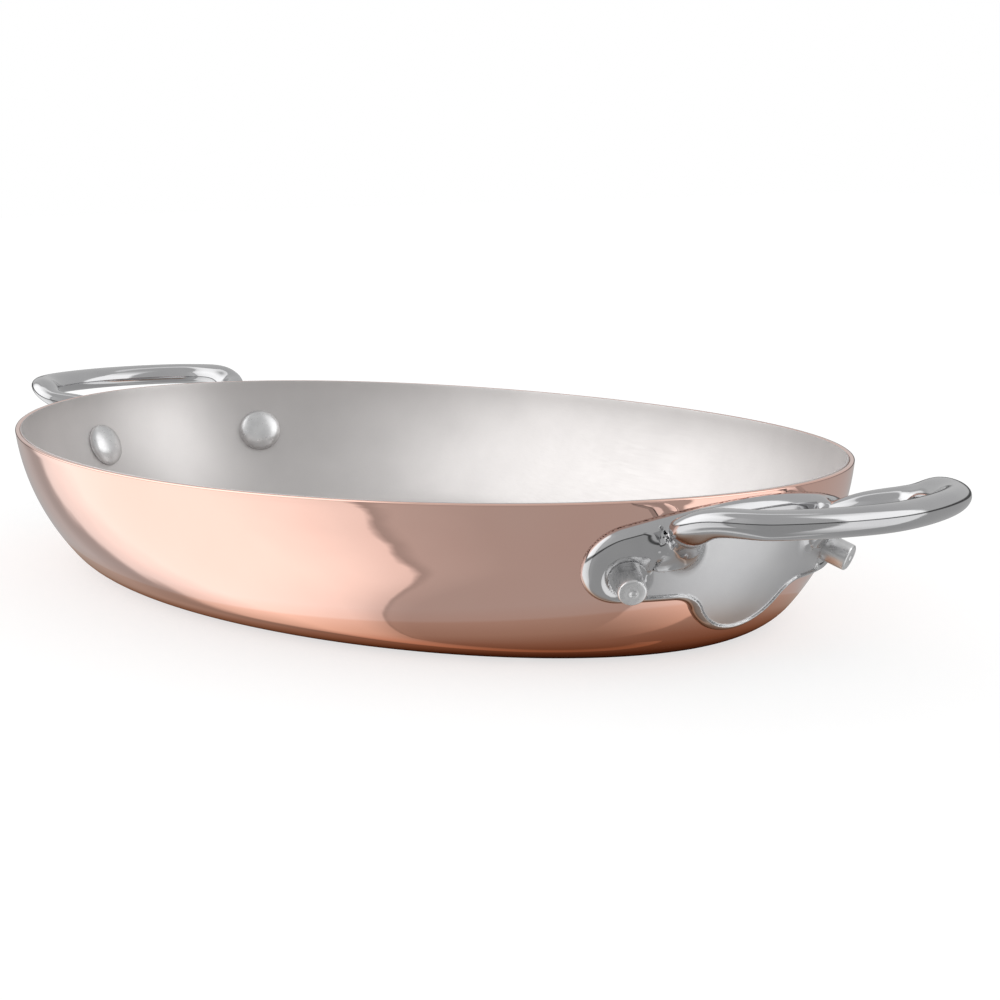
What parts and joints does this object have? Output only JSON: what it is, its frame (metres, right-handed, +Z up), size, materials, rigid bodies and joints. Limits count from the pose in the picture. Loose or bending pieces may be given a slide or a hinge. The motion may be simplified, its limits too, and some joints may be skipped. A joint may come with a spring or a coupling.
{
  "type": "oval pan",
  "caption": "Shallow oval copper pan lined with steel, with a riveted cast steel loop handle at each end.",
  "frame": {"origin": "on the surface that the pan stands on, under the middle of the oval", "axes": "+Z up, +X along the pan's length towards the right handle, +Y across it"},
  "size_m": [0.458, 0.23, 0.052],
  "materials": {
    "copper": "mirror polished copper",
    "lining": "fine satin",
    "cast_steel": "polished, with a satin field on each plate",
    "rivet_steel": "satin"
  },
  "bodies": {
    "root": {"copper_shell": "copper", "steel_lining": "lining", "handle_right": "cast_steel", "handle_left": "cast_steel", "rivet_right_front": "rivet_steel", "rivet_right_back": "rivet_steel", "rivet_left_front": "rivet_steel", "rivet_left_back": "rivet_steel"}
  },
  "joints": []
}
